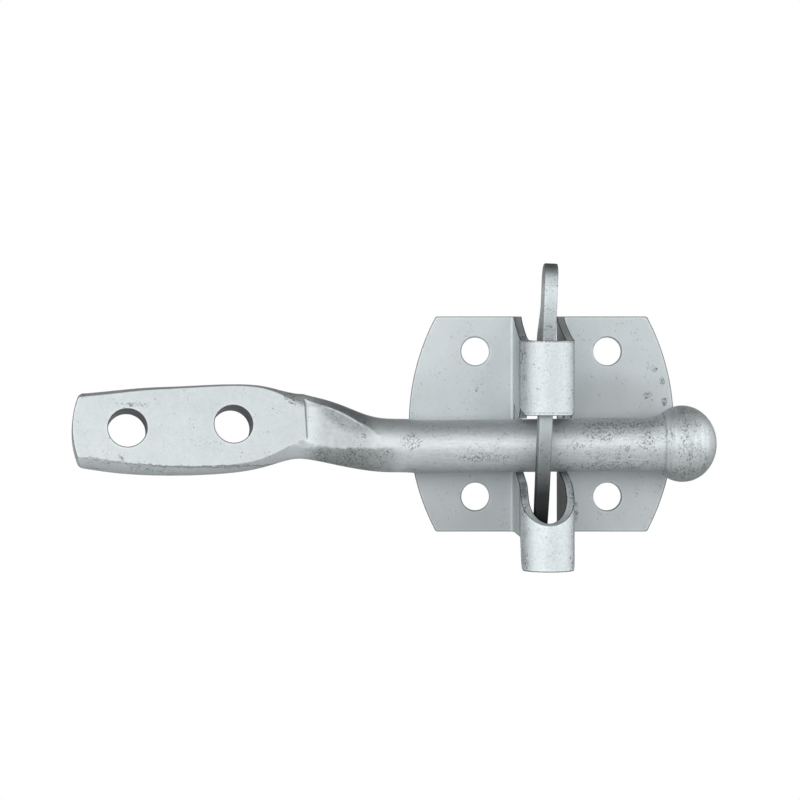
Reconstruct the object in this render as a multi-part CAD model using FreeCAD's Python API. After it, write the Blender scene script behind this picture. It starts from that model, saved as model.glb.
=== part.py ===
import FreeCAD, Part
import math
import os

# Automatic gate latch: a folded sheet latch body with an upper and a lower loop, a lifting
# tongue that hangs on a flush rivet in the upper loop, and the striker arm of the gate,
# whose round bar lies in the mouth of the body behind the tongue.
#
# Frame, in millimetres: X to the right, Z up, and the front faces -Y. The origin is the
# centre of the four screw holes on the back face of the body, which lies on the post.
# "Forward" is a distance in front of the front face of the wings, and "back" in the channel's
# sizes is a distance behind its front.

Vector = FreeCAD.Vector

# Latch body: sheet and wings
sheet = 1.8
plate_height = 50.0
plate_width = 61.6
plate_end_width = 49.1
plate_corner = 0.8
screw_hole_dia = 6.5
screw_pitch_x = 30.7
screw_pitch_z = 33.8
edge_round = 0.35

# Latch body: channel pressed forward between the wings
channel_width = 12.0
channel_back_width = 11.74
channel_back_offset = -0.56
channel_depth = 23.0
fold_radius = 0.8
upper_rim_drop = 6.4
upper_rim_start_forward = 0.1
upper_rim_fold_drop = 0.3
upper_rim_knee_forward = 6.0
upper_rim_knee_drop = 2.8
upper_rim_flare = 0.4
upper_lip_z = 2.1
upper_lip_rise = 1.8
upper_lip_side_back = 3.2
upper_lip_corner = 1.5
wall_tooth_back = 11.0
wall_tooth_z = 1.3
notch_top_z = 4.7
mouth_back = 1.0
mouth_spare = 1.0
notch_corner = 1.2
lower_lip_rise = 3.0
lower_lip_slope = 0.2
shoulder_back = 8.7
shoulder_radius = 5.0
seat_slope = 15.0
loop_reach_down = 7.25
loop_knee_back = 7.2
loop_knee_radius = 1.0
loop_foot_back = 4.4
loop_foot_radius = 1.5

# Striker arm: bar and ball
bar_dia = 12.1
bar_z = -4.76
bar_rise = 0.75
bar_gap = 0.25
seat_gap = 0.6
bar_start_x = -29.0
ball_x = 31.3
ball_dia = 17.4
ball_half_length = 7.75
ball_seam_back = 4.05
ball_end_flat_dia = 4.0
ball_neck_radius = 5.7

# Striker arm: cranked flat, in its own frame. Along is measured from the crease to the left.
flat_thickness = 6.0
flat_yaw = 12.0
flat_roll = 12.0
flat_rise = 1.9
crease_x = -54.8
crease_forward = 5.3
crease_z = -0.5
flat_length = 52.35
flat_end_head = (1.5, 8.2)
flat_end_tip_height = 2.4
flat_end_foot = (1.1, -6.75)
flat_section_turn = -3.5
flat_hole_dia = 8.6
flat_hole_first = 16.6
flat_hole_pitch = 23.7
flat_hole_offset = 0.6

# Flat, at places along it: rise of its middle, half height of its outline and of its face
flat_stations = (
    (55.0, 1.1, 8.0, 6.5),
    (50.9, 0.87, 8.35, 6.85),
    (43.5, 0.37, 9.25, 7.75),
    (36.0, 0.17, 9.9, 8.55),
    (28.0, 0.02, 10.15, 8.95),
    (20.0, 0.1, 10.2, 9.1),
    (14.8, 0.22, 10.0, 8.95),
    (10.5, 0.37, 9.5, 8.25),
    (7.0, 0.42, 8.7, 7.05),
    (3.5, 0.3, 7.8, 5.2),
    (0.0, 0.0, 7.55, 3.6),
)

# Neck between the crease and the bar: share of the way along, share of the drop, half height
# and half depth of its oval section
neck_stations = (
    (0.186, 0.225, 7.35, 4.6),
    (0.346, 0.465, 7.05, 5.4),
    (0.507, 0.724, 6.55, 5.9),
    (0.676, 0.903, 6.2, 6.1),
    (0.845, 0.938, 6.15, 6.1),
)
facet_yaw = -11.5
facet_roll = 13.0
facet_depth = 0.35

# Tongue and its rivet
tongue_thickness = 3.0
tongue_front_gap = 0.8
tongue_bar_gap = 0.4
tongue_offset_x = -0.06
tongue_lean = 2.25
tongue_rise = 11.05
tongue_finger_back = 2.8
tongue_tip_rise = 0.5
tongue_top_round = 4.0
tongue_top_round_share = 0.45
tongue_tip_width = 2.6
tongue_tip_round = 1.0
tongue_taper_start_z = -8.0
tongue_edge_round = 0.35
hump_top_rise = 1.5
hump_peak_drop = 5.5
hump_foot_drop = 18.0
hump_forward = 2.6
hump_round = 3.0
rivet_dia = 3.0
rivet_drop = 9.8
slot_gap = 0.15
lift_spare = 0.4

# Worked out from the sizes above
plate_top = plate_height / 2
plate_foot = -plate_height / 2
upper_rim_z = plate_top - upper_rim_drop
lower_lip_z = plate_foot + lower_lip_rise
loop_end_z = plate_foot - loop_reach_down
tongue_top_z = plate_top + tongue_rise
tongue_tip_z = plate_foot + tongue_tip_rise
hump_top_z = plate_top + hump_top_rise
hump_peak_z = plate_top - hump_peak_drop
hump_foot_z = plate_top - hump_foot_drop
rivet_z = plate_top - rivet_drop
half_channel = channel_width / 2
half_back = channel_back_width / 2
inner_half = half_channel - sheet
nose_forward = channel_depth - half_channel
wall_tooth_forward = channel_depth - wall_tooth_back
shoulder_forward = channel_depth - shoulder_back
fold_edge = half_back + fold_radius
bar_radius = bar_dia / 2
ball_radius = ball_dia / 2
bar_lean = math.atan2(ball_radius - bar_radius, ball_x + plate_width / 2)
bar_forward = bar_radius + bar_gap + plate_width / 2 * math.tan(bar_lean)
tongue_rear = bar_forward + bar_radius + tongue_bar_gap
tongue_front = channel_depth - sheet - tongue_front_gap
rivet_forward = (tongue_rear + tongue_front) / 2
tongue_lift = bar_z + bar_radius - tongue_tip_z + lift_spare
beyond = 5.0
lip_steps = 12
reach = plate_width


def place(x, forward, z):
    """Point at a distance forward of the wings' front face."""
    return Vector(x, -sheet - forward, z)


def line(start, end):
    return Part.LineSegment(start, end).toShape()


def arc(start, middle, end):
    return Part.Arc(start, middle, end).toShape()


def prism(points, direction):
    """Solid swept along a direction from a closed outline of points."""
    outline = Part.makePolygon(list(points) + [points[0]])
    return Part.Face(outline).extrude(direction)


def side_prism(profile, half_width):
    """Solid across the channel from an outline of (forward, height) pairs."""
    points = [place(-half_width, forward, z) for forward, z in profile]
    return prism(points, Vector(2 * half_width, 0, 0))


def edges_through(shape, points, tolerance=0.01):
    """Edges of a shape that pass through any of the given points."""
    found = []
    for edge in shape.Edges:
        for point in points:
            if edge.distToShape(Part.Vertex(point))[0] < tolerance:
                found.append(edge)
                break
    return found


def round_across(solid, corners, radius):
    """Rounds the edges that run across the channel at (forward, height) corners."""
    points = [place(0, forward, z) for forward, z in corners]
    return solid.makeFillet(radius, edges_through(solid, points))


def sheet_section():
    """Closed section of the folded sheet, seen from above, drawn at height 0."""
    outer_fold = fold_radius + sheet
    slant = math.sqrt(0.5)

    def back(x, forward):
        return place(x + channel_back_offset, forward, 0)

    def half(side):
        wing_front = place(side * reach, 0, 0)
        fold_front = back(side * fold_edge, 0)
        fold_middle = back(side * (fold_edge - fold_radius * slant), fold_radius * (1 - slant))
        wall_foot = back(side * half_back, fold_radius)
        wall_head = place(side * half_channel, nose_forward, 0)
        inner_head = place(side * inner_half, nose_forward, 0)
        inner_foot = back(side * (half_back - sheet), fold_radius)
        back_middle = back(side * (fold_edge - outer_fold * slant), fold_radius - outer_fold * slant)
        fold_back = back(side * fold_edge, -sheet)
        wing_back = place(side * reach, -sheet, 0)
        return [
            line(wing_front, fold_front),
            arc(fold_front, fold_middle, wall_foot),
            line(wall_foot, wall_head),
            line(inner_head, inner_foot),
            arc(inner_foot, back_middle, fold_back),
            line(fold_back, wing_back),
            line(wing_back, wing_front),
        ]

    nose = [
        arc(place(-half_channel, nose_forward, 0), place(0, channel_depth, 0), place(half_channel, nose_forward, 0)),
        arc(place(-inner_half, nose_forward, 0), place(0, channel_depth - sheet, 0),
            place(inner_half, nose_forward, 0)),
    ]
    edges = half(-1) + half(1) + nose
    return Part.Face(Part.Wire(Part.__sortEdges__(edges)))


def wing_outline():
    """Front outline of the two wings together, a square plate with bowed sides."""
    end = plate_end_width / 2
    middle = plate_width / 2
    outline = Part.Wire([
        line(Vector(-end, 0, plate_top), Vector(end, 0, plate_top)),
        arc(Vector(end, 0, plate_top), Vector(middle, 0, 0), Vector(end, 0, plate_foot)),
        line(Vector(end, 0, plate_foot), Vector(-end, 0, plate_foot)),
        arc(Vector(-end, 0, plate_foot), Vector(-middle, 0, 0), Vector(-end, 0, plate_top)),
    ])
    block = Part.Face(outline).extrude(Vector(0, -channel_depth - sheet - beyond, 0))
    block.translate(Vector(0, beyond, 0))
    corners = [Vector(x, 0, z) for x in (-end, end) for z in (plate_foot, plate_top)]
    return block.makeFillet(plate_corner, edges_through(block, corners))


def seat_height(forward):
    """Height of the sloping wall edges that the bar lies on."""
    slope = math.radians(seat_slope)
    start = bar_z - (bar_radius + seat_gap) / math.cos(slope) + bar_forward * math.tan(slope)
    return start - forward * math.tan(slope)


def smooth_prism(curve_points, rest, half_width):
    """Solid across the channel bounded by a curve that starts and ends level, then by straight lines."""
    curve = Part.BSplineCurve()
    level = Vector(0, -1, 0)
    curve.interpolate(Points=[place(-half_width, forward, z) for forward, z in curve_points],
                      InitialTangent=level, FinalTangent=level)
    rest_points = [curve_points[-1]] + list(rest) + [curve_points[0]]
    lines = [line(place(-half_width, *rest_points[i]), place(-half_width, *rest_points[i + 1]))
             for i in range(len(rest_points) - 1)]
    outline = Part.Wire([curve.toShape()] + lines)
    return Part.Face(outline).extrude(Vector(2 * half_width, 0, 0))


def seat_front(forward):
    """Height of the steep wall edges between the seat and the lip of the lower loop."""
    seat = seat_height(shoulder_forward)
    return seat + (lower_lip_z - seat) * (forward - shoulder_forward) / (channel_depth - shoulder_forward)


def over_lower_lip():
    """Solid above the lip of the lower loop, whose edge stands square to the bent sheet."""
    rows = []
    for radius in (inner_half - mouth_spare, half_channel + mouth_spare):
        row = []
        for step in range(lip_steps + 1):
            turn = math.pi * (step / lip_steps - 0.5)
            edge = seat_front(nose_forward + half_channel * math.cos(turn))
            rise = lower_lip_slope * (half_channel - radius) * math.cos(turn)
            row.append(place(radius * math.sin(turn), nose_forward + radius * math.cos(turn), edge + rise))
        rows.append(row)
    surface = Part.BSplineSurface()
    surface.interpolate(rows)
    return surface.toShape().extrude(Vector(0, 0, seat_front(nose_forward) - lower_lip_z + mouth_spare))


def latch_plate():
    """The body: one sheet with two wings, an upper loop, a mouth and a lower loop."""
    outer = half_channel + fold_radius
    front = channel_depth + beyond
    section = sheet_section()
    section.translate(Vector(0, 0, loop_end_z - beyond))
    blank = section.extrude(Vector(0, 0, plate_top - loop_end_z + 2 * beyond))
    strip = Part.makeBox(2 * outer, front + sheet + 2 * beyond, plate_top - loop_end_z + beyond,
                         Vector(-outer, -sheet - front, loop_end_z - beyond))
    body = blank.common(wing_outline().fuse(strip))

    over_rim = smooth_prism(
        [(upper_rim_start_forward, plate_top), (fold_radius, plate_top - upper_rim_fold_drop),
         (upper_rim_knee_forward, plate_top - upper_rim_knee_drop),
         (nose_forward, upper_rim_z + upper_rim_flare), (channel_depth, upper_rim_z), (front, upper_rim_z)],
        [(front, plate_top + beyond), (upper_rim_start_forward, plate_top + beyond)], outer)

    seat_foot = seat_front(nose_forward)
    shoulder = (shoulder_forward, seat_height(shoulder_forward))
    tooth = (wall_tooth_forward, wall_tooth_z)
    wall_front = (nose_forward, upper_lip_z + upper_lip_rise)
    lip_side = (channel_depth - upper_lip_side_back, upper_lip_z)
    mouth = side_prism(
        [(mouth_back, notch_top_z), tooth, wall_front, lip_side, (front, upper_lip_z),
         (front, seat_foot), (nose_forward, seat_foot), shoulder, (mouth_back, seat_height(mouth_back))],
        half_channel + mouth_spare)
    mouth = round_across(mouth, [shoulder], shoulder_radius)
    mouth = round_across(mouth, [tooth, wall_front], notch_corner)
    mouth = round_across(mouth, [lip_side], upper_lip_corner)

    knee = (channel_depth - loop_knee_back, plate_foot)
    foot = (channel_depth - loop_foot_back, loop_end_z)
    under_loop = side_prism(
        [(-beyond, plate_foot), knee, foot, (front, loop_end_z),
         (front, loop_end_z - 2 * beyond), (-beyond, loop_end_z - 2 * beyond)],
        outer + beyond)
    under_loop = round_across(under_loop, [knee], loop_knee_radius)
    under_loop = round_across(under_loop, [foot], loop_foot_radius)

    for tool in (over_rim, mouth, over_lower_lip(), under_loop, rivet_bore(0)):
        body = body.cut(tool)
    hole_radius = screw_hole_dia / 2
    rims = []
    for x in (-screw_pitch_x / 2, screw_pitch_x / 2):
        for z in (-screw_pitch_z / 2, screw_pitch_z / 2):
            hole = Part.makeCylinder(hole_radius, sheet + 2 * beyond, Vector(x, beyond, z), Vector(0, -1, 0))
            body = body.cut(hole)
            rims += [Vector(x + hole_radius, 0, z), Vector(x + hole_radius, -sheet, z)]
    body = body.removeSplitter()
    return body.makeFillet(edge_round, edges_through(body, rims))


def rivet_bore(gap):
    """Cylinder of the rivet with a gap around it, through both walls of the upper loop."""
    radius = rivet_dia / 2 + gap
    return Part.makeCylinder(radius, channel_width + 2 * beyond,
                             place(-half_channel - beyond, rivet_forward, rivet_z), Vector(1, 0, 0))


def guide_rivet():
    """Rivet peened flush with both walls of the upper loop."""
    channel = Part.makeBox(channel_width, nose_forward, plate_height, place(-half_channel, nose_forward, 0))
    nose = Part.makeCylinder(half_channel, plate_height, place(0, nose_forward, 0), Vector(0, 0, 1))
    return rivet_bore(0).common(channel.fuse(nose))


def tongue():
    """Flat blade on edge: finger, rear hump, long slot and tapered tip."""
    rear = tongue_rear
    finger_rear = rear - tongue_finger_back
    front = tongue_front
    tip_front = rear + tongue_tip_width
    drop = tongue_taper_start_z - tongue_tip_z
    taper = front - tip_front
    radius = (taper * taper + drop * drop) / (2 * taper)
    half_turn = math.asin(drop / radius) / 2
    middle = (front - radius * (1 - math.cos(half_turn)), tongue_taper_start_z - radius * math.sin(half_turn))

    def at(forward, z):
        return place(-tongue_thickness / 2, forward, z)

    corners = [
        (tip_front, tongue_tip_z),
        (rear, tongue_tip_z),
        (rear, hump_foot_z),
        (hump_forward, hump_peak_z),
        (finger_rear, hump_top_z),
        (finger_rear, tongue_top_z),
        (front, tongue_top_z),
        (front, tongue_taper_start_z),
    ]
    points = [at(*corner) for corner in corners]
    edges = [line(points[i], points[i + 1]) for i in range(len(points) - 1)]
    edges.append(arc(points[-1], at(*middle), points[0]))
    blade = Part.Face(Part.Wire(edges)).extrude(Vector(tongue_thickness, 0, 0))

    def rounded(solid, radius, *which):
        spots = [place(0, *corner) for corner in which]
        return solid.makeFillet(radius, edges_through(solid, spots))

    blade = rounded(blade, hump_round, (rear, hump_foot_z), (hump_forward, hump_peak_z),
                    (finger_rear, hump_top_z))
    top_round = min(tongue_top_round, tongue_top_round_share * (front - finger_rear))
    blade = rounded(blade, top_round, (finger_rear, tongue_top_z), (front, tongue_top_z))
    blade = rounded(blade, tongue_tip_round, (rear, tongue_tip_z), (tip_front, tongue_tip_z))
    side_edges = [edge for face in blade.Faces if abs(face.normalAt(0, 0).x) > 0.99 for edge in face.Edges]
    blade = blade.makeFillet(tongue_edge_round, side_edges)

    slot_half = rivet_dia / 2 + slot_gap
    slot = Part.makeCylinder(slot_half, channel_width, place(-half_channel, rivet_forward, rivet_z), Vector(1, 0, 0))
    slot_foot = Part.makeCylinder(slot_half, channel_width,
                                  place(-half_channel, rivet_forward, rivet_z - tongue_lift), Vector(1, 0, 0))
    run = side_prism([(rivet_forward - slot_half, rivet_z - tongue_lift), (rivet_forward + slot_half,
                      rivet_z - tongue_lift), (rivet_forward + slot_half, rivet_z),
                      (rivet_forward - slot_half, rivet_z)], half_channel)
    blade = blade.cut([slot, slot_foot, run])
    blade.rotate(place(0, rivet_forward, rivet_z), Vector(0, 1, 0), tongue_lean)
    blade.translate(Vector(tongue_offset_x, 0, 0))
    return blade


def axes(yaw_degrees, roll_degrees, rise_degrees):
    """Unit vectors along a length to the right, up across it, and out of its front."""
    yaw = math.radians(yaw_degrees)
    roll = math.radians(roll_degrees)
    rise = math.radians(rise_degrees)
    level = Vector(math.cos(yaw), math.sin(yaw), 0)
    across = Vector(-math.sin(yaw) * math.sin(roll), math.cos(yaw) * math.sin(roll), math.cos(roll))
    out = Vector(math.sin(yaw) * math.cos(roll), -math.cos(yaw) * math.cos(roll), math.sin(roll))
    along = level * math.cos(rise) + across * math.sin(rise)
    up = across * math.cos(rise) - level * math.sin(rise)
    return along, up, out


def oval(centre, up, out, half_height, half_depth):
    """Closed wire of an ellipse or circle with its two axes given."""
    if half_height >= half_depth:
        ellipse = Part.Ellipse(Vector(0, 0, 0), half_height, half_depth)
        turn = FreeCAD.Rotation(up, out, up.cross(out), "XYZ")
    else:
        ellipse = Part.Ellipse(Vector(0, 0, 0), half_depth, half_height)
        turn = FreeCAD.Rotation(out, up * -1, up.cross(out), "XYZ")
    wire = Part.Wire(ellipse.toShape())
    wire.Placement = FreeCAD.Placement(centre, turn)
    return wire


def flat_oval(crease, along, up, out, distance, rise, high, face_half):
    """Oval section of the flat, turned a little about its length, before its faces are cut."""
    turn = math.radians(flat_section_turn)
    deep = flat_thickness / 2 / math.sqrt(1 - (face_half / high) ** 2)
    turned_up = up * math.cos(turn) - out * math.sin(turn)
    turned_out = out * math.cos(turn) + up * math.sin(turn)
    return oval(crease - along * distance + up * rise, turned_up, turned_out, high, deep)


def striker_flat(crease, along, up, out):
    """Flattened end of the arm, with a bowed end and two holes."""
    half_flat = flat_thickness / 2
    wires = [flat_oval(crease, along, up, out, *station) for station in flat_stations]
    swelling = Part.makeLoft(wires, True)

    def at(distance, height):
        return crease - along * distance + up * height - out * half_flat

    head = (flat_length - flat_end_head[0], flat_end_head[1])
    foot = (flat_length - flat_end_foot[0], flat_end_foot[1])
    over_head = (head[0] - beyond, head[1] + beyond)
    under_foot = (foot[0] - beyond, foot[1] - beyond)
    outline = Part.Wire([
        arc(at(*foot), at(flat_length, flat_end_tip_height), at(*head)),
        line(at(*head), at(*over_head)),
        line(at(*over_head), at(0, over_head[1])),
        line(at(0, over_head[1]), at(0, under_foot[1])),
        line(at(0, under_foot[1]), at(*under_foot)),
        line(at(*under_foot), at(*foot)),
    ])
    slab = Part.Face(outline).extrude(out * flat_thickness)
    flat = swelling.common(slab)
    for number in range(2):
        distance = flat_hole_first + number * flat_hole_pitch
        start = at(distance, flat_hole_offset) - out * beyond
        hole = Part.makeCylinder(flat_hole_dia / 2, flat_thickness + 2 * beyond, start, out)
        flat = flat.cut(hole)
    return flat


def bar_axes():
    """Directions of the bar, which leans forward so that the ball clears the right wing."""
    return axes(-math.degrees(bar_lean), 0, bar_rise)


def on_bar_axis(x):
    """Point of the bar's axis at a place along X."""
    along = bar_axes()[0]
    return place(0, bar_forward, bar_z) + along * (x / along.x)


def striker_neck(crease, along, up, out):
    """Neck that leads from the oval section at the crease to the round bar."""
    wires = [flat_oval(crease, along, up, out, *flat_stations[-1])]
    bar_yaw = -math.degrees(bar_lean)
    bar_point = on_bar_axis(bar_start_x)
    way = bar_point - crease
    for share, drop, high, deep in neck_stations:
        left = 1 - share
        yaw = bar_yaw + (flat_yaw - bar_yaw) * left
        turned = axes(yaw, flat_roll * left, bar_rise + (flat_rise - bar_rise) * left)
        centre = crease + Vector(way.x * share, way.y * share, way.z * drop)
        wires.append(oval(centre, turned[1], turned[2], high, deep))
    last = bar_axes()
    wires.append(oval(bar_point, last[1], last[2], bar_radius, bar_radius))
    neck = Part.makeLoft(wires, True)
    facet_along, facet_up, facet_out = axes(facet_yaw, facet_roll, 0)
    corner = crease + out * (flat_thickness / 2 - facet_depth)
    corner = corner - facet_along * beyond - facet_up * (reach / 2)
    facet = prism([corner, corner + facet_along * reach, corner + facet_along * reach + facet_up * reach,
                   corner + facet_up * reach], facet_out * channel_depth)
    return neck.cut(facet)


def striker_bar():
    """Round bar and ball, turned as one profile about the bar's axis."""
    along, up = bar_axes()[:2]
    middle = on_bar_axis(0)

    def at(distance, radius):
        return middle + along * distance + up * radius

    start = bar_start_x / along.x
    seam_radius = ball_radius * math.sqrt(1 - (ball_seam_back / ball_half_length) ** 2)
    sweep = math.acos(1 - (seam_radius - bar_radius) / ball_neck_radius)
    seam = ball_x - ball_seam_back
    flare = seam - ball_neck_radius * math.sin(sweep)
    half_sweep = (flare + ball_neck_radius * math.sin(sweep / 2),
                  bar_radius + ball_neck_radius * (1 - math.cos(sweep / 2)))
    end_flat = ball_end_flat_dia / 2
    end_turn = math.acos(end_flat / ball_radius)
    end = ball_x + ball_half_length * math.sin(end_turn)
    seam_turn = -math.asin(ball_seam_back / ball_half_length)
    ball = Part.ArcOfEllipse(Part.Ellipse(Vector(0, 0, 0), ball_radius, ball_half_length), seam_turn, end_turn)
    ball = ball.toShape()
    ball.Placement = FreeCAD.Placement(at(ball_x, 0), FreeCAD.Rotation(up, along, up.cross(along), "XYZ"))
    profile = Part.Wire([
        line(at(start, 0), at(start, bar_radius)),
        line(at(start, bar_radius), at(flare, bar_radius)),
        arc(at(flare, bar_radius), at(*half_sweep), at(seam, seam_radius)),
        ball,
        line(at(end, end_flat), at(end, 0)),
        line(at(end, 0), at(start, 0)),
    ])
    return Part.Face(profile).revolve(middle, along, 360)


def striker_arm():
    """Forged arm: flat with two holes, cranked neck, round bar and ball end, in one piece."""
    along, up, out = axes(flat_yaw, flat_roll, flat_rise)
    crease = place(crease_x, crease_forward, crease_z)
    flat = striker_flat(crease, along, up, out)
    neck = striker_neck(crease, along, up, out)
    bar = striker_bar()
    return flat.fuse([neck, bar]).removeSplitter()


pieces = {
    "latch_plate": latch_plate,
    "guide_rivet": guide_rivet,
    "tongue": tongue,
    "striker_arm": striker_arm,
}

os.makedirs("parts", exist_ok=True)
for name, make in pieces.items():
    shape = make()
    print(name, shape.ShapeType, len(shape.Solids), shape.isValid(), round(shape.Volume, 1))
    shape.exportStep("parts/" + name + ".step")
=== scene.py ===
import math

import bmesh
import bpy
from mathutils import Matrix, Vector


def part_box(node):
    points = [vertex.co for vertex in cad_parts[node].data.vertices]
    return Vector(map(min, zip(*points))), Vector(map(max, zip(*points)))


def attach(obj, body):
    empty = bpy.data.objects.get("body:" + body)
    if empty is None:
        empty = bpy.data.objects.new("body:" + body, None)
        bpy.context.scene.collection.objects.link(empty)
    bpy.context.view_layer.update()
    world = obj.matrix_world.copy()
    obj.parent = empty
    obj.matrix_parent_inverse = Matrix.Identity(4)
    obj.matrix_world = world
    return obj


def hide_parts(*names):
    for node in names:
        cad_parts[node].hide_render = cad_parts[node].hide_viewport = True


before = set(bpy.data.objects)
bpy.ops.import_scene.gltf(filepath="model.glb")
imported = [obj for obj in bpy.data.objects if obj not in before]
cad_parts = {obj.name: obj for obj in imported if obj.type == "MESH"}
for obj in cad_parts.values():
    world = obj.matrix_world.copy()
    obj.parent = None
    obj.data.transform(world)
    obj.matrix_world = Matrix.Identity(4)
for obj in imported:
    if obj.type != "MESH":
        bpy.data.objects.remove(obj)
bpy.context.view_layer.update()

bl_info = {
    "name": "Gate latch",
    "version": (1, 0, 0),
    "blender": (4, 5, 0),
    "location": "3D View > Sidebar > Gate latch",
    "description": "Dresses the pieces of a zinc plated gate latch and sets up its studio",
    "category": "Object",
}

MM = 0.001
WHITE = (1.0, 1.0, 1.0, 1.0)

# The sheet's thickness in millimetres, and the front of its wings in metres
SHEET = 1.8
WING_FACE = -SHEET * MM

# Places of the body in millimetres. The rivet is flush with both sides of the channel, and the nose
# is a half round as wide as the channel, whose axis lies this far before the wings.
PLATE_LOW, PLATE_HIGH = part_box("latch_plate")
PLATE_FOOT = PLATE_LOW[2] / MM
PLATE_TOP = PLATE_HIGH[2] / MM
HALF_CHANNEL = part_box("guide_rivet")[1][0] / MM
NOSE_AXIS = -PLATE_LOW[1] / MM - SHEET - HALF_CHANNEL

# How the mesh of a CAD node is merged, flattened and rounded
MERGE_DISTANCE = 0.001 * MM
FLAT_ANGLE = math.radians(0.3)
RIM_ANGLE = math.radians(32)
RIM_SEGMENTS = 3
EVEN_WEIGHT = 50

# The patterns, from here to the marks of the arm, are measured in millimetres.
# RISE is the value at which a mask is 0 and the value at which it is 1, FALL is the other way round,
# and STRETCH is a rise and a fall.
# BAND is a low side, a high side and the softness of both.
# DARK and LIGHT are shares taken from the brightness or added to it, SHADE, SHADOW and HIGHLIGHT
# are such shares that paint shade, a shadow or a highlight, DEPTH is how much a noise changes it,
# and WEAR is how worn a place is.
# A spot is its place as x and z, its half sizes, and its turn in degrees.
# A noise is its features' size, its detail, its roughness and, where it is drawn out, its scale.

# The plating
NOISE_MEAN = 0.5
GRAIN = (0.35, 4.0, 0.6)
BLOTCHES = (7.0, 4.0, 0.6)
PATCHES = (3.0, 3.0, 0.5)
FLECKS = (0.5, 4.0, 0.75)
SCRATCHES = (1.6, 2.0, 0.5)
SCRATCH_WIDTH = 0.014
PATCH_SHARE = 0.8
WEAR_SHARE = 0.5
WORN_RISE = (0.5, 0.8)
FLECK_GAIN = 0.07
FLECK_RISE = (0.6, 0.66)
SPECK_RISE = (0.48, 0.62)
SPOT_FALL = (0.4, 1.0)
RIM_RISE = (0.08, 0.42)
RIM_SAMPLES = 8


class Socket:
    """A node's output that can be used in sums: each operator adds one Math node."""

    def __init__(self, shader, output):
        self.shader = shader
        self.output = output

    def maths(self, operation, *values):
        return self.shader.node("ShaderNodeMath", {"operation": operation}, dict(enumerate(values)))

    def __add__(self, other):
        return self.maths("ADD", self, other)

    def __radd__(self, other):
        return self.maths("ADD", other, self)

    def __sub__(self, other):
        return self.maths("SUBTRACT", self, other)

    def __rsub__(self, other):
        return self.maths("SUBTRACT", other, self)

    def __mul__(self, other):
        return self.maths("MULTIPLY", self, other)

    def __rmul__(self, other):
        return self.maths("MULTIPLY", other, self)

    def __truediv__(self, other):
        return self.maths("DIVIDE", self, other)

    def lowest(self, other):
        return self.maths("MINIMUM", self, other)

    def highest(self, other):
        return self.maths("MAXIMUM", self, other)

    def size(self):
        return self.maths("ABSOLUTE", self)

    def root(self):
        return self.maths("SQRT", self)


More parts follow.
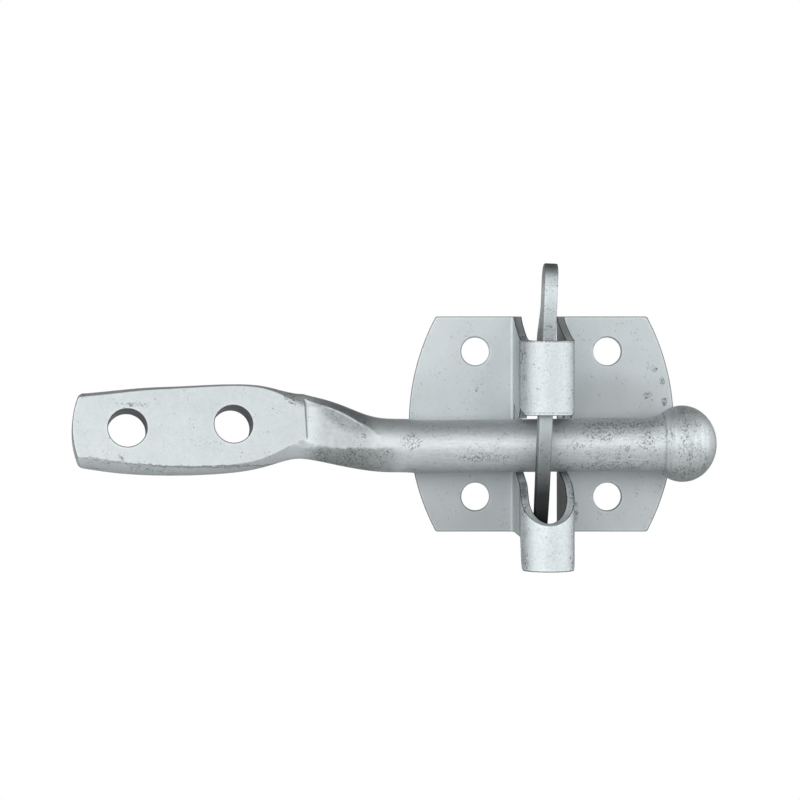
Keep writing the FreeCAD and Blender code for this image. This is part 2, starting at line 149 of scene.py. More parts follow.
class Shader:
    """Builds the nodes of one material or of the world."""

    def __init__(self, owner):
        owner.use_nodes = True
        self.tree = owner.node_tree
        self.tree.nodes.clear()

    def node(self, kind, settings=None, inputs=None, output=0):
        """Adds a node, makes its settings, then fills or links its sockets."""
        made = self.tree.nodes.new(kind)
        for name, value in (settings or {}).items():
            if name == "stops":
                self.stops(made.color_ramp, value)
            else:
                setattr(made, name, value)
        for name, value in (inputs or {}).items():
            if isinstance(value, Socket):
                self.tree.links.new(value.output, made.inputs[name])
            else:
                made.inputs[name].default_value = value
        return Socket(self, made.outputs[output]) if made.outputs else None

    def stops(self, ramp, values):
        """Gives a ramp its stops, each as its position and its grey; new ones start halfway."""
        while len(ramp.elements) < len(values):
            ramp.elements.new(0.5)
        for element, (position, grey) in zip(ramp.elements, values):
            element.position = position
            element.color = (grey, grey, grey, 1.0)

    def place(self):
        """Position on the piece in millimetres: as a vector, and as x, how far before the wings, and z."""
        metres = self.node("ShaderNodeTexCoord", output="Object")
        vector = self.node("ShaderNodeVectorMath", {"operation": "SCALE"}, {0: metres, "Scale": 1 / MM})
        x, y, z = (self.node("ShaderNodeSeparateXYZ", {}, {0: vector}, output=i) for i in range(3))
        return vector, x, -SHEET - y, z

    def noise(self, vector, feature, detail, roughness, scale=None):
        """Noise between 0 and 1; a scale below 1 draws its features out along that axis."""
        if scale:
            vector = self.node("ShaderNodeMapping", {}, {"Vector": vector, "Scale": scale})
        return self.node("ShaderNodeTexNoise", {}, {
            "Vector": vector, "Scale": 1 / feature, "Detail": detail, "Roughness": roughness}, output="Fac")

    def ripple(self, vector, pattern):
        """Noise with its mean at 0."""
        return self.noise(vector, *pattern) - NOISE_MEAN

    def rise(self, value, low, high):
        """0 below low, 1 above high, with a smooth change between them."""
        return self.node("ShaderNodeMapRange", {"interpolation_type": "SMOOTHSTEP"}, {
            "Value": value, "From Min": low, "From Max": high, "To Min": 0.0, "To Max": 1.0})

    def fall(self, value, low, high):
        """1 below low, 0 above high, with a smooth change between them."""
        return 1.0 - self.rise(value, low, high)

    def between(self, value, rise, fall):
        """1 past the rise and before the fall, 0 outside."""
        return self.rise(value, *rise) * self.fall(value, *fall)

    def band(self, value, low, high, soft):
        """1 between low and high, 0 outside, with soft borders."""
        return self.between(value, (low - soft, low + soft), (high - soft, high + soft))

    def lines(self, vector, pattern, width):
        """Thin curly lines, 1 on the lines, along the mean of a noise."""
        return self.fall(self.ripple(vector, pattern).size(), width / 2, width)

    def spot(self, x, z, place, size, turn):
        """1 in the middle of an ellipse, 0 outside; turn in degrees lifts its right end."""
        along, across = math.cos(math.radians(turn)), math.sin(math.radians(turn))
        right = x - place[0]
        above = z - place[1]
        u = (right * along + above * across) / size[0]
        v = (above * along - right * across) / size[1]
        return self.fall((u * u + v * v).root(), *SPOT_FALL)

    def spots(self, x, z, places):
        """The union of several spots."""
        first, *others = places
        found = self.spot(x, z, *first)
        for place in others:
            found = found.highest(self.spot(x, z, *place))
        return found

    def reach(self, vector, origin, direction):
        """How far a point lies from an origin along a direction."""
        away = self.node("ShaderNodeVectorMath", {"operation": "SUBTRACT"}, {0: vector, 1: origin})
        return self.node(
            "ShaderNodeVectorMath", {"operation": "DOT_PRODUCT"}, {0: away, 1: direction}, output="Value")

    def rims(self, width):
        """1 at a sharp edge of the piece, 0 further away than the width."""
        inside = self.node("ShaderNodeAmbientOcclusion", {"inside": True, "samples": RIM_SAMPLES}, {
            "Distance": width}, output="AO")
        return self.rise(1.0 - inside, *RIM_RISE)

    def shade(self, colour, amount):
        """A colour with its brightness multiplied."""
        return self.node("ShaderNodeVectorMath", {"operation": "SCALE"}, {0: colour, "Scale": amount})


def zinc(name, finish, tone, marks):
    """Dull zinc plating with grain and blotches, painted shade on its edges and a painted highlight beside
    them; marks gives the level, with its painted light and shade, and the wear of a piece.
    """
    material = bpy.data.materials.new(name)
    shader = Shader(material)
    vector, x, forward, z = shader.place()
    level, wear = marks(shader, vector, x, forward, z)
    grain = shader.noise(vector, *GRAIN)
    blotch = shader.ripple(vector, BLOTCHES)
    patch = shader.noise(vector, *PATCHES)
    fleck = shader.noise(vector, *FLECKS)
    worn = shader.rise(patch * PATCH_SHARE + wear * WEAR_SHARE, *WORN_RISE)
    specks = shader.rise(fleck + worn * FLECK_GAIN, *FLECK_RISE)
    specks = specks * shader.rise(patch + wear * WEAR_SHARE, *SPECK_RISE)
    scratches = shader.lines(vector, SCRATCHES, SCRATCH_WIDTH) * worn
    # Painted shade on the sharp edges
    rims = shader.rims(finish.rim_width) * finish.rim_shade
    # A painted highlight just inside the sharp edges
    shine = shader.rims(finish.shine_width) * finish.rim_shine
    grained = (grain - NOISE_MEAN) * (finish.grain_depth + worn * finish.worn_depth)
    level = level * (1.0 + grained + blotch * finish.blotch_depth)
    level = level * (1.0 - specks * finish.speck_dark) * (1.0 - scratches * finish.scratch_dark)
    level = level * (1.0 + shine) * (1.0 - rims)
    colour = shader.shade(tone, level)
    rough = finish.rough + (grain - NOISE_MEAN) * finish.rough_spread
    bump = shader.node("ShaderNodeBump", {}, {
        "Strength": finish.bump_strength, "Distance": finish.bump_depth, "Height": grain + patch})
    surface = shader.node("ShaderNodeBsdfPrincipled", {}, {
        "Base Color": colour, "Roughness": rough, "Metallic": finish.metal, "Normal": bump})
    shader.node("ShaderNodeOutputMaterial", {}, {"Surface": surface})
    return material


# The body's channel: its back lies a little to the left of its nose. Its inside gets painted shade, lighter
# higher up.
BACK_SHIFT = 0.56
INSIDE_FALL = (HALF_CHANNEL - SHEET + 0.05, HALF_CHANNEL - SHEET + 0.25)
INSIDE_RISE = (0.2 - SHEET, 0.8 - SHEET)
UPPER_RISE = (0.0, 2.0)
INSIDE_SHADE = 0.8
UPPER_LIGHT = 0.42

# The body's wings: painted light and shade, lighter on the left and darker all over and towards the bottom,
# more so on the left, with a painted shadow on the right wing beside the nose; and their stains
WING_FALL = (0.1, 0.6)
WING_FACE_RISE = (-0.8, -0.3)
LEFT_FALL = (-9.0, -5.0)
HEIGHT_FALL = (-PLATE_TOP - 1.0, PLATE_TOP + 1.0)
WING_SHADE = 0.06
LEFT_LIGHT = 0.04
LOW_WING_SHADE = 0.1
LOW_LEFT_WING_SHADE = 0.15
WING_SHADOW = ((14.0, 3.0), (20.0, 12.0), 0.0)
WING_SHADOW_DARK = 0.13
STAIN_DARK = 0.4
STAIN_WEAR = 1.3
STAINS = (
    ((26.4, 12.6), (0.9, 0.7), 30.0),
    ((28.1, 10.0), (0.8, 1.2), 0.0),
    ((24.7, 6.8), (1.4, 1.0), 20.0),
    ((28.6, 5.2), (0.9, 1.4), 0.0),
    ((8.0, -21.4), (0.8, 2.0), -10.0),
    ((8.1, -18.8), (0.6, 0.9), 0.0),
    ((-15.0, 8.0), (0.4, 0.7), -30.0),
    ((-16.6, -12.1), (0.3, 0.6), 10.0),
)

# Lines of painted shade along the body's folds: a band of x, a band of the way before the wings, and a
# darkness
FOLD_SHADE_LINES = (
    ((-6.7, -5.6, 0.1), (0.3, 12.0, 0.2), 0.15),
    ((-7.0, -4.6, 0.1), (12.6, 17.2, 0.5), 0.4),
    ((5.45, 6.2, 0.15), (12.0, 19.5, 0.5), 0.3),
)

# The body's two loops
LOOP_RISE = (9.0, 12.0)
LOOP_LIGHT = 0.06
LOOP_WEAR = 0.12
LOWER_FALL = (-18.0, -10.0)
LOWER_LIGHT = 0.13
SPECKLE = (0.6, 3.0, 0.6)
SPECKLE_RISE = (0.42, 0.58)
SPECKLE_DEPTH = 0.07
UPPER_BRINK_BAND = (18.15, 18.8, 0.1)
LOWER_BRINK_BAND = (2.55, 2.85, 0.05)
FOOT_FALL = (PLATE_FOOT + 0.1, PLATE_FOOT + 0.35)
BRINK_DARK = 0.4
FLANK_RISE = (3.6, 5.4)
FLANK_WEAR = 0.55


def body_marks(shader, vector, x, forward, z):
    """Painted shade inside the channel, painted light and shade and stains on the wings, lines of painted
    shade along the folds, specked loops.
    """
    # Painted shade inside the channel: dark in the lower loop, lighter in the upper loop
    past_axis = (forward - NOSE_AXIS).highest(0.0)
    aside = x + BACK_SHIFT * (1.0 - (forward / NOSE_AXIS).lowest(1.0))
    radius = (aside * aside + past_axis * past_axis).root()
    inside = shader.fall(radius, *INSIDE_FALL) * shader.rise(forward, *INSIDE_RISE)
    level = 1.0 - inside * (INSIDE_SHADE - UPPER_LIGHT * shader.rise(z, *UPPER_RISE))

    # Painted light and shade on the wings, with a painted shadow on the right wing
    wings = shader.fall(forward, *WING_FALL)
    left = shader.fall(x, *LEFT_FALL)
    low = shader.fall(z, *HEIGHT_FALL)
    wing_shadow = shader.spot(x, z, *WING_SHADOW) * (1.0 - left)
    shaded = WING_SHADE + low * low * (LOW_WING_SHADE + left * LOW_LEFT_WING_SHADE) + wing_shadow * WING_SHADOW_DARK
    level = level * (1.0 + wings * (left * LEFT_LIGHT - shaded))

    # Painted shade along the folds
    for across, deep, dark in FOLD_SHADE_LINES:
        level = level * (1.0 - shader.band(x, *across) * shader.band(forward, *deep) * dark)

    loops = shader.rise(forward, *LOOP_RISE)
    lower = shader.fall(z, *LOWER_FALL)
    speckle = shader.rise(shader.noise(vector, *SPECKLE), *SPECKLE_RISE)
    brinks = shader.band(z, *UPPER_BRINK_BAND).highest(shader.band(z, *LOWER_BRINK_BAND)) * speckle
    foot = shader.fall(z, *FOOT_FALL)
    level = level * (1.0 + loops * (LOOP_LIGHT + LOWER_LIGHT * lower))
    level = level * (1.0 - loops * brinks.highest(foot) * BRINK_DARK)
    level = level * (1.0 + loops * (speckle - NOISE_MEAN) * SPECKLE_DEPTH)

    stains = shader.spots(x, z, STAINS) * wings * shader.rise(forward, *WING_FACE_RISE)
    level = level * (1.0 - stains * speckle * STAIN_DARK)
    flanks = loops * shader.rise(x.size(), *FLANK_RISE)
    wear = (stains * STAIN_WEAR).highest(flanks * FLANK_WEAR).highest(loops * LOOP_WEAR)
    return level, wear


# The tongue: the heights between which its tones are spread, and the tones from its foot to its top, which
# paint its light and shade: nearly black in shade below the bar, and a painted highlight on the finger
TONGUE_SPAN = (-25.0, 36.0)
TONGUE_LIGHT_AND_SHADE = (
    (0.0, 0.08), (0.16, 0.1), (0.27, 0.45), (0.38, 0.95), (0.5, 1.2), (0.75, 0.85), (0.9, 1.5), (1.0, 0.45))
FINGER_RISE = (16.0, 20.0)
FINGER_WEAR = 0.42
NECKED_BAND = (18.0, 22.5, 1.0)
NECKED_WEAR = 0.3
BLADE_FALL = (-10.0, 3.0)
BLADE_WEAR = 0.3


def tongue_marks(shader, vector, x, forward, z):
    """Painted highlight on the finger, grey middle and painted shade, nearly black, at the end below the
    bar.
    """
    low, high = TONGUE_SPAN
    share = shader.node("ShaderNodeMapRange", {}, {
        "Value": z, "From Min": low, "From Max": high, "To Min": 0.0, "To Max": 1.0})
    # Painted light and shade along the tongue's height
    level = shader.node("ShaderNodeValToRGB", {"stops": TONGUE_LIGHT_AND_SHADE}, {"Fac": share})
    finger = shader.rise(z, *FINGER_RISE) * FINGER_WEAR
    necked = shader.band(z, *NECKED_BAND) * NECKED_WEAR
    blade = shader.fall(z, *BLADE_FALL) * BLADE_WEAR
    return level, finger + necked + blade


# The rivet
RIVET_LEVEL = 0.9
RIVET_WEAR = 0.3


def rivet_marks(shader, vector, x, forward, z):
    """The same level and wear all over."""
    return RIVET_LEVEL, RIVET_WEAR


# The arm's flat: its crease, the directions to its end and up, its holes, and the curve of the
# ragged border between its face and its lower edge
CREASE = (-54.8, -7.1, -0.5)
FLAT_ALONG = (-0.9762, -0.2145, -0.0324)
FLAT_UP = (-0.0756, 0.1964, 0.9759)
HOLE_DISTANCES = (16.6, 40.3)
HOLE_HEIGHT = 0.6
HOLE_FALL = (4.32, 4.55)
HOLE_SHADE = 0.62
RAGGED = (1.2, 3.0, 0.6)
RAGGED_DEPTH = 1.6
BORDER_DROP = 7.81
BORDER_SLOPE = 0.122
BORDER_CURVE = 0.00332
BORDER_BAND = (-0.22, 0.12, 0.06)
BORDER_DARK = 0.35
FLAT_STRETCH = ((0.5, 3.0), (49.0, 51.0))
LOWER_EDGE_FALL = (-0.2, 0.2)
LOWER_EDGE_DARK = 0.05
LOWER_EDGE_WEAR = 0.3

# The arm's neck: its stretch of painted shade, its rough underside with partly painted shade, the painted
# shadow in its hollow, the painted highlight along the ridge, and the painted shade on top along its upper
# border
NECK_STRETCH = ((-54.0, -49.5), (-42.0, -36.0))
NECK_SHADE = 0.24
NECK_FRONT_RISE = (6.0, 8.0)
UNDERSIDE_STRETCH = ((-56.5, -52.0), (-36.0, -32.0))
UNDERSIDE_FALL = (-5.6, -4.9)
UNDERSIDE_RAGGED = 0.8
UNDERSIDE_SHADE = 0.26
UNDERSIDE_WEAR = 0.55
HOLLOW_SHADOW = ((-45.0, 1.4), (9.0, 3.4), -26.0)
HOLLOW_SHADOW_DARK = 0.3
HOLLOW_WEAR = 0.45
RIDGE_START = -50.2
RIDGE_HEIGHT = 4.6
RIDGE_SLOPE = 0.35
RIDGE_CURVE = 0.0165
RIDGE_BAND = (-0.6, -0.25, 0.12)
RIDGE_REACH_BAND = (-49.5, -41.0, 1.0)
RIDGE_HIGHLIGHT = 0.45
NECK_TOP_SHADE_RISE = (3.8, 4.4)
NECK_TOP_SHADE_RAGGED = 0.3
NECK_TOP_SHADE_REACH_BAND = (-55.5, -50.6, 0.6)
NECK_TOP_SHADE_DARK = 0.38
MOTTLE_DEPTH = 0.1
NECK_MOTTLE_DEPTH = 0.15

# The arm's bar and its ball
BAR_RISE = (-34.0, -30.0)
BAR_WEAR = 0.22
BAR_SHADE_FALL = (-11.2, -7.5)
BAR_SHADE_DARK = 0.3
BAR_END_RISE = (-2.0, 6.0)
BAR_END_WEAR = 0.45
BALL_RISE = (26.8, 27.2)
BALL_SEAM_BAND = (26.5, 26.9, 0.15)
BALL_SEAM_DARK = 0.22
RINGS = (0.4, 2.0, 0.5, (1.0, 0.1, 0.1))
RING_DEPTH = 0.4
STREAKS = (0.45, 3.0, 0.6, (0.12, 1.0, 1.0))
STREAK_DEPTH = 0.35

# Worn spots of the arm
WORN = (
    ((12.8, -1.5), (8.0, 3.4), -5.0),
    ((22.0, 0.2), (8.0, 1.4), 3.0),
    ((22.4, -4.0), (3.0, 2.4), 0.0),
    ((14.0, -9.2), (14.0, 1.6), 0.0),
    ((31.0, 2.0), (1.4, 3.6), 0.0),
    ((31.2, -3.0), (1.0, 0.8), 0.0),
    ((33.6, 0.2), (1.2, 1.4), 0.0),
    ((31.0, -10.5), (4.4, 2.2), 0.0),
    ((-30.0, -3.7), (3.6, 2.6), 0.0),
    ((-41.2, -2.6), (1.2, 1.0), 0.0),
    ((-14.0, -7.4), (9.0, 1.6), 0.0),
    ((-57.3, 5.6), (3.2, 1.4), -30.0),
    ((-94.8, -7.1), (1.4, 0.7), -45.0),
    ((-104.0, 6.5), (1.8, 1.2), 0.0),
    ((-92.0, 4.6), (3.4, 0.8), 0.0),
)


def flat_marks(shader, vector, ragged):
    """Painted shade on the hole walls, and a ragged dark border above the worn lower edge."""
    along = shader.reach(vector, CREASE, FLAT_ALONG)
    height = shader.reach(vector, CREASE, FLAT_UP)
    above = height - HOLE_HEIGHT
    # Painted shade on the walls of the holes
    holes = 0.0
    for distance in HOLE_DISTANCES:
        beside = along - distance
        away = (beside * beside + above * above).root()
        holes = holes + shader.fall(away, *HOLE_FALL)
    border = height + BORDER_DROP + along * BORDER_SLOPE - along * along * BORDER_CURVE + ragged
    flat = shader.between(along, *FLAT_STRETCH)
    line = shader.band(border, *BORDER_BAND) * flat
    edge = shader.fall(border, *LOWER_EDGE_FALL) * flat
    level = (1.0 - holes.lowest(1.0) * HOLE_SHADE) * (1.0 - line * BORDER_DARK)
    return level * (1.0 - edge * LOWER_EDGE_DARK), edge * LOWER_EDGE_WEAR


def neck_marks(shader, x, forward, z, ragged):
    """Painted shade over the neck, mottling, a rough underside partly in painted shade, a painted shadow in
    the hollow, a painted highlight on the ridge and painted shade along the upper border.
    """
    neck = shader.between(x, *NECK_STRETCH)
    front = shader.rise(forward, *NECK_FRONT_RISE)
    # A darker underside: partly painted shade where the neck curves away from the light, partly worn
    # plating
    underside = shader.fall(z + ragged * UNDERSIDE_RAGGED, *UNDERSIDE_FALL)
    underside = underside * shader.between(x, *UNDERSIDE_STRETCH)
    # A painted shadow in the hollow below the ridge, with some wear
    hollow = shader.spot(x, z, *HOLLOW_SHADOW) * front
    # A painted highlight along the ridge
    past = x - RIDGE_START
    above = z - RIDGE_HEIGHT + past * RIDGE_SLOPE + past * past * RIDGE_CURVE
    ridge = shader.band(above, *RIDGE_BAND) * shader.band(x, *RIDGE_REACH_BAND) * front
    # Painted shade on the top of the neck, above the facet's upper border
    neck_top_shade = shader.rise(z + ragged * NECK_TOP_SHADE_RAGGED, *NECK_TOP_SHADE_RISE) * shader.band(x, *NECK_TOP_SHADE_REACH_BAND) * front
    # Painted shade over the neck
    level = (1.0 - neck * NECK_SHADE) * (1.0 - underside * UNDERSIDE_SHADE) * (1.0 - hollow * HOLLOW_SHADOW_DARK)
    level = level * (1.0 + ridge * RIDGE_HIGHLIGHT) * (1.0 - neck_top_shade * NECK_TOP_SHADE_DARK)
    level = level * (1.0 + ragged * (MOTTLE_DEPTH + neck * NECK_MOTTLE_DEPTH))
    return level, (underside * UNDERSIDE_WEAR).highest(hollow * HOLLOW_WEAR)


def bar_marks(shader, vector, x, z):
    """Streaks along the bar, rings round the ball, a dark seam between them and painted shade on the bar's
    underside, more worn to the right.
    """
    bar = shader.rise(x, *BAR_RISE)
    ball = shader.rise(x, *BALL_RISE)
    # Painted shade on the bar's underside
    bar_shade = shader.fall(z, *BAR_SHADE_FALL) * bar
    rings = shader.ripple(vector, RINGS) * ball
    streaks = shader.ripple(vector, STREAKS) * bar * (1.0 - ball)
    level = 1.0 + rings * RING_DEPTH + streaks * STREAK_DEPTH
    level = level * (1.0 - bar_shade * BAR_SHADE_DARK)
    level = level * (1.0 - shader.band(x, *BALL_SEAM_BAND) * BALL_SEAM_DARK)
    return level, (bar * BAR_WEAR).highest(shader.rise(x, *BAR_END_RISE) * BAR_END_WEAR)


def arm_marks(shader, vector, x, forward, z):
    """The marks of the flat, the neck, the bar and the ball, and the worn spots."""
    ragged = shader.ripple(vector, RAGGED) * RAGGED_DEPTH
    flat_level, flat_wear = flat_marks(shader, vector, ragged)
    neck_level, neck_wear = neck_marks(shader, x, forward, z, ragged)
    bar_level, bar_wear = bar_marks(shader, vector, x, z)
    wear = shader.spots(x, z, WORN).highest(flat_wear).highest(neck_wear).highest(bar_wear)
    return flat_level * neck_level * bar_level, wear


def dressed(node, name, rim):
    """A merged copy of a CAD node with its sharp edges rounded, in the node's place."""
    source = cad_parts[node]
    shape = bmesh.new()
    shape.from_mesh(source.data)
    bmesh.ops.remove_doubles(shape, verts=shape.verts, dist=MERGE_DISTANCE)
    bmesh.ops.dissolve_limit(shape, angle_limit=FLAT_ANGLE, verts=shape.verts, edges=shape.edges)
    for face in shape.faces:
        face.smooth = True
    mesh = bpy.data.meshes.new(name)
    shape.to_mesh(mesh)
    shape.free()
    piece = bpy.data.objects.new(name, mesh)
    bpy.context.scene.collection.objects.link(piece)
    bevel = piece.modifiers.new("rounded_rims", "BEVEL")
    bevel.width = rim
    bevel.segments = RIM_SEGMENTS
    bevel.limit_method = "ANGLE"
    bevel.angle_limit = RIM_ANGLE
    bevel.harden_normals = True
    bevel.use_clamp_overlap = True
    even = piece.modifiers.new("even_normals", "WEIGHTED_NORMAL")
    even.keep_sharp = True
    even.weight = EVEN_WEIGHT
    return piece


def fit_piece(piece, node, body, material):
    """Gives a finished piece its material and its place in the frame."""
    piece.data.materials.clear()
    piece.data.materials.append(material)
    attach(piece, body)
    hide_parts(node)


class LatchFinish(bpy.types.PropertyGroup):
    """Tones, plating and rounded rims of the pieces."""

    body_tone: bpy.props.FloatVectorProperty(
        name="Body tone", description="Colour of the plated sheet", subtype="COLOR", size=3,
        min=0.0, max=1.0, default=(0.625, 0.67, 0.685))
    arm_tone: bpy.props.FloatVectorProperty(
        name="Arm tone", description="Colour of the plated arm", subtype="COLOR", size=3,
        min=0.0, max=1.0, default=(0.665, 0.71, 0.72))
    tongue_tone: bpy.props.FloatVectorProperty(
        name="Tongue tone", description="Colour of the plated tongue", subtype="COLOR", size=3,
        min=0.0, max=1.0, default=(0.46, 0.5, 0.51))
    metal: bpy.props.FloatProperty(
        name="Metal", description="Share of bare metal in the look", subtype="FACTOR",
        min=0.0, max=1.0, default=0.95)
    rough: bpy.props.FloatProperty(
        name="Roughness", description="Mean roughness of the plating", subtype="FACTOR",
        min=0.0, max=1.0, default=0.62)
    rough_spread: bpy.props.FloatProperty(
        name="Roughness spread", description="How far the grain moves the roughness", default=0.2)
    grain_depth: bpy.props.FloatProperty(
        name="Grain", description="How much the grain changes the brightness", default=0.25)
    worn_depth: bpy.props.FloatProperty(
        name="Worn grain", description="How much more it does so where the plating is worn", default=0.7)
    blotch_depth: bpy.props.FloatProperty(
        name="Blotches", description="How much the wide blotches change the brightness", default=0.16)
    speck_dark: bpy.props.FloatProperty(
        name="Speck darkness", description="How dark the specks are", default=0.58)
    scratch_dark: bpy.props.FloatProperty(
        name="Scratch darkness", description="How dark the scratches are", default=0.45)
    bump_strength: bpy.props.FloatProperty(
        name="Bump", description="How strongly the grain shows in the light", default=0.2)
    bump_depth: bpy.props.FloatProperty(
        name="Bump depth", description="Height of the grain", unit="LENGTH", default=0.1 * MM)
    # Painted shade on the sharp edges: how far it reaches and how dark it is
    rim_width: bpy.props.FloatProperty(
        name="Rim width", description="How far from an edge the plating is dark", unit="LENGTH",
        default=0.4 * MM)
    rim_shade: bpy.props.FloatProperty(
        name="Rim darkness", description="How dark the plating is at its edges", default=0.9)
    # A painted highlight beside the sharp edges: how far it reaches and how bright it is
    shine_width: bpy.props.FloatProperty(
        name="Shine width", description="How far from an edge the plating is rubbed bright", unit="LENGTH",
        default=1.0 * MM)
    rim_shine: bpy.props.FloatProperty(
        name="Rim shine", description="How much brighter the plating is beside its edges", default=0.16)
    sheet_rim: bpy.props.FloatProperty(
        name="Sheet rim", description="Rounding of the sheet's edges", unit="LENGTH", default=0.3 * MM)
    tongue_rim: bpy.props.FloatProperty(
        name="Tongue rim", description="Rounding of the tongue's edges", unit="LENGTH", default=0.1 * MM)
    arm_rim: bpy.props.FloatProperty(
        name="Arm rim", description="Rounding of the arm's edges", unit="LENGTH", default=0.4 * MM)


class LatchStudio(bpy.types.PropertyGroup):
    """Camera, floor, lamps and room."""

    camera_x: bpy.props.FloatProperty(
        name="Camera x", description="Camera's place along X", unit="LENGTH", default=-32.86 * MM)
    camera_distance: bpy.props.FloatProperty(
        name="Camera distance", description="From the camera to the wings' front", unit="LENGTH",
        default=400 * MM)
    camera_z: bpy.props.FloatProperty(
        name="Camera z", description="Camera's height", unit="LENGTH", default=5.58 * MM)
    lens: bpy.props.FloatProperty(
        name="Lens", description="Focal length in millimetres", unit="CAMERA", default=77.4)
    floor_drop: bpy.props.FloatProperty(
        name="Floor drop", description="From the origin down to the floor", unit="LENGTH", default=0.4)
    floor_size: bpy.props.FloatProperty(
        name="Floor size", description="Length of the floor's sides", unit="LENGTH", default=1.6)
    floor_tone: bpy.props.FloatVectorProperty(
        name="Floor tone", description="Colour of the floor", subtype="COLOR", size=4,
        min=0.0, max=1.0, default=(0.9, 0.9, 0.9, 1.0))
    floor_rough: bpy.props.FloatProperty(
        name="Floor roughness", description="Roughness of the floor", subtype="FACTOR",
        min=0.0, max=1.0, default=0.8)
    floor_gloss: bpy.props.FloatProperty(
        name="Floor gloss", description="How much the floor mirrors", subtype="FACTOR",
        min=0.0, max=1.0, default=0.1)
    left_power: bpy.props.FloatProperty(
        name="Left power", description="Power of the left lamp", unit="POWER", default=4.3)
    right_power: bpy.props.FloatProperty(
        name="Right power", description="Power of the right lamp", unit="POWER", default=3.6)
    left_turn: bpy.props.FloatProperty(
        name="Left turn", description="Angle of the left lamp from straight ahead", unit="ROTATION",
        default=math.radians(-39.0))
    right_turn: bpy.props.FloatProperty(
        name="Right turn", description="Angle of the right lamp from straight ahead", unit="ROTATION",
        default=math.radians(60.0))
    lamp_rise: bpy.props.FloatProperty(
        name="Lamp rise", description="Height of the lamps as a share of their distance", default=0.23)
    lamp_distance: bpy.props.FloatProperty(
        name="Lamp distance", description="From the origin to each lamp, seen from above", unit="LENGTH",
        default=0.6)
    lamp_width: bpy.props.FloatProperty(
        name="Lamp width", description="Width of each lamp", unit="LENGTH", default=1.2)
    lamp_height: bpy.props.FloatProperty(
        name="Lamp height", description="Height of each lamp", unit="LENGTH", default=0.5)
    fill_strength: bpy.props.FloatProperty(
        name="Fill", description="Brightness of the room on the object", default=0.1)
    backdrop_start: bpy.props.FloatProperty(
        name="Backdrop start", description="Y of a mirrored ray's direction where the white begins",
        default=0.85)
    backdrop_full: bpy.props.FloatProperty(
        name="Backdrop full", description="Y of a mirrored ray's direction where it is all white",
        default=0.95)


class LATCH_OT_body(bpy.types.Operator):
    """Dress the folded sheet body"""

    bl_idname = "gate_latch.body"
    bl_label = "Latch body"

    def execute(self, context):
        finish = context.scene.latch_finish
        piece = dressed("latch_plate", "folded_body", finish.sheet_rim)
        material = zinc("body zinc", finish, finish.body_tone, body_marks)
        fit_piece(piece, "latch_plate", "latch", material)
        return {"FINISHED"}


class LATCH_OT_tongue(bpy.types.Operator):
    """Dress the lifting tongue"""

    bl_idname = "gate_latch.tongue"
    bl_label = "Tongue"

    def execute(self, context):
        finish = context.scene.latch_finish
        piece = dressed("tongue", "lifting_tongue", finish.tongue_rim)
        material = zinc("tongue zinc", finish, finish.tongue_tone, tongue_marks)
        fit_piece(piece, "tongue", "tongue", material)
        return {"FINISHED"}


class LATCH_OT_rivet(bpy.types.Operator):
    """Finish the flush rivet"""

    bl_idname = "gate_latch.rivet"
    bl_label = "Rivet"

    def execute(self, context):
        finish = context.scene.latch_finish
        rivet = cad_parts["guide_rivet"]
        rivet.data.materials.clear()
        rivet.data.materials.append(zinc("rivet zinc", finish, finish.body_tone, rivet_marks))
        return {"FINISHED"}


class LATCH_OT_arm(bpy.types.Operator):
    """Dress the forged striker arm"""

    bl_idname = "gate_latch.arm"
    bl_label = "Striker arm"

    def execute(self, context):
        finish = context.scene.latch_finish
        piece = dressed("striker_arm", "forged_arm", finish.arm_rim)
        material = zinc("arm zinc", finish, finish.arm_tone, arm_marks)
        fit_piece(piece, "striker_arm", "latch", material)
        return {"FINISHED"}


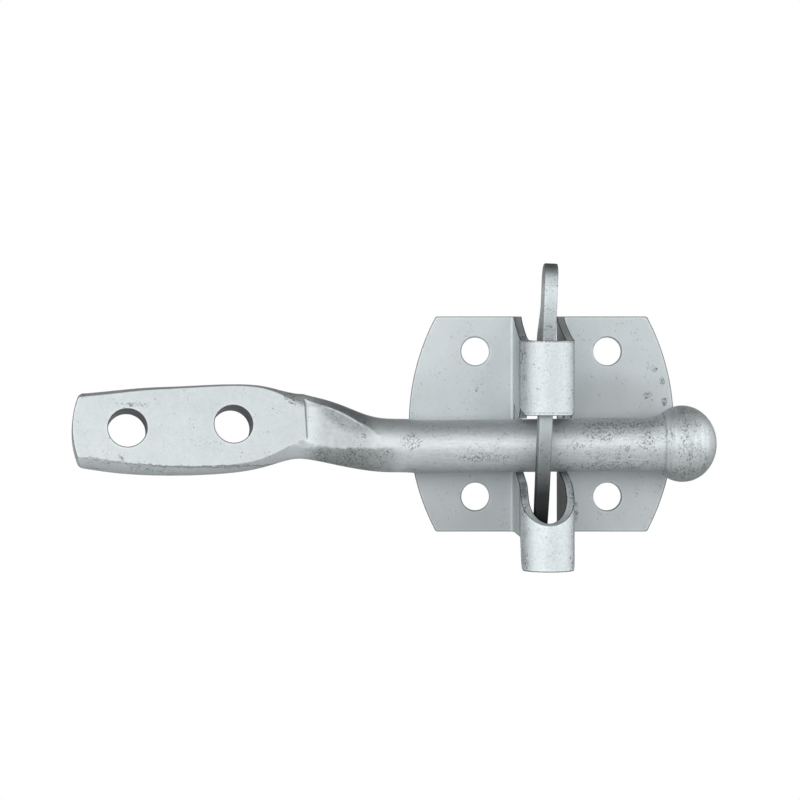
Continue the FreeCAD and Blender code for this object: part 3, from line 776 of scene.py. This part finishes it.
class LATCH_OT_stage(bpy.types.Operator):
    """Set up the floor, the lamps, the room and the camera"""

    bl_idname = "gate_latch.stage"
    bl_label = "Stage"

    def execute(self, context):
        studio = context.scene.latch_studio
        self.floor(context, studio)
        self.lamp(context, studio, "left_lamp", studio.left_turn, studio.left_power)
        self.lamp(context, studio, "right_lamp", studio.right_turn, studio.right_power)
        self.room(context, studio)
        self.camera(context, studio)
        return {"FINISHED"}

    def floor(self, context, studio):
        """A pale floor some way below the object."""
        shape = bmesh.new()
        bmesh.ops.create_grid(shape, x_segments=1, y_segments=1, size=studio.floor_size / 2)
        bmesh.ops.translate(shape, vec=(0, 0, -studio.floor_drop), verts=shape.verts)
        mesh = bpy.data.meshes.new("floor")
        shape.to_mesh(mesh)
        shape.free()
        material = bpy.data.materials.new("pale floor")
        shader = Shader(material)
        surface = shader.node("ShaderNodeBsdfPrincipled", {}, {
            "Base Color": studio.floor_tone, "Roughness": studio.floor_rough,
            "Specular IOR Level": studio.floor_gloss})
        shader.node("ShaderNodeOutputMaterial", {}, {"Surface": surface})
        mesh.materials.append(material)
        floor = bpy.data.objects.new("floor", mesh)
        context.scene.collection.objects.link(floor)

    def lamp(self, context, studio, name, turn, power):
        """A wide lamp before the object that shines on the middle of the picture."""
        light = bpy.data.lights.new(name, "AREA")
        light.shape = "RECTANGLE"
        light.size = studio.lamp_width
        light.size_y = studio.lamp_height
        light.energy = power
        lamp = bpy.data.objects.new(name, light)
        lamp.location = Vector((math.sin(turn), -math.cos(turn), studio.lamp_rise)) * studio.lamp_distance
        aim = Vector((studio.camera_x, 0, 0)) - lamp.location
        lamp.rotation_euler = aim.to_track_quat("-Z", "Y").to_euler()
        context.scene.collection.objects.link(lamp)

    def room(self, context, studio):
        """A dim room that is white where the camera sees it, and behind the object in mirrored light."""
        world = bpy.data.worlds.new("room")
        context.scene.world = world
        shader = Shader(world)
        direction = shader.node("ShaderNodeTexCoord", output="Generated")
        away = shader.node("ShaderNodeSeparateXYZ", {}, {0: direction}, output="Y")
        behind = shader.rise(away, studio.backdrop_start, studio.backdrop_full)
        glossy = shader.node("ShaderNodeLightPath", output="Is Glossy Ray")
        through = shader.node("ShaderNodeLightPath", output="Is Transmission Ray")
        direct = shader.node("ShaderNodeLightPath", output="Is Camera Ray")
        seen = (glossy.highest(through) * behind).highest(direct)
        strength = seen * (1.0 - studio.fill_strength) + studio.fill_strength
        back = shader.node("ShaderNodeBackground", {}, {"Color": WHITE, "Strength": strength})
        shader.node("ShaderNodeOutputWorld", {}, {"Surface": back})

    def camera(self, context, studio):
        """A level camera that looks along Y from in front of the wings."""
        view = bpy.data.cameras.new("camera")
        view.lens = studio.lens
        camera = bpy.data.objects.new("camera", view)
        camera.location = (studio.camera_x, WING_FACE - studio.camera_distance, studio.camera_z)
        camera.rotation_euler = (math.radians(90), 0, 0)
        context.scene.collection.objects.link(camera)
        context.scene.camera = camera
        context.scene.view_settings.view_transform = "Standard"


class LATCH_PT_panel(bpy.types.Panel):
    """Lists the settings and the pieces"""

    bl_idname = "LATCH_PT_panel"
    bl_label = "Gate latch"
    bl_space_type = "VIEW_3D"
    bl_region_type = "UI"
    bl_category = "Gate latch"

    def draw(self, context):
        layout = self.layout
        for group in (context.scene.latch_finish, context.scene.latch_studio):
            for name in group.bl_rna.properties.keys():
                if name not in ("rna_type", "name"):
                    layout.prop(group, name)
        for operator in OPERATORS:
            layout.operator(operator.bl_idname)


OPERATORS = (LATCH_OT_body, LATCH_OT_tongue, LATCH_OT_rivet, LATCH_OT_arm, LATCH_OT_stage)
CLASSES = (LatchFinish, LatchStudio) + OPERATORS + (LATCH_PT_panel,)


def register():
    for cls in CLASSES:
        bpy.utils.register_class(cls)
    bpy.types.Scene.latch_finish = bpy.props.PointerProperty(type=LatchFinish)
    bpy.types.Scene.latch_studio = bpy.props.PointerProperty(type=LatchStudio)


def unregister():
    del bpy.types.Scene.latch_studio
    del bpy.types.Scene.latch_finish
    for cls in reversed(CLASSES):
        bpy.utils.unregister_class(cls)


def main():
    register()
    bpy.ops.gate_latch.body()
    bpy.ops.gate_latch.tongue()
    bpy.ops.gate_latch.rivet()
    bpy.ops.gate_latch.arm()
    bpy.ops.gate_latch.stage()


if __name__ == "__main__":
    main()
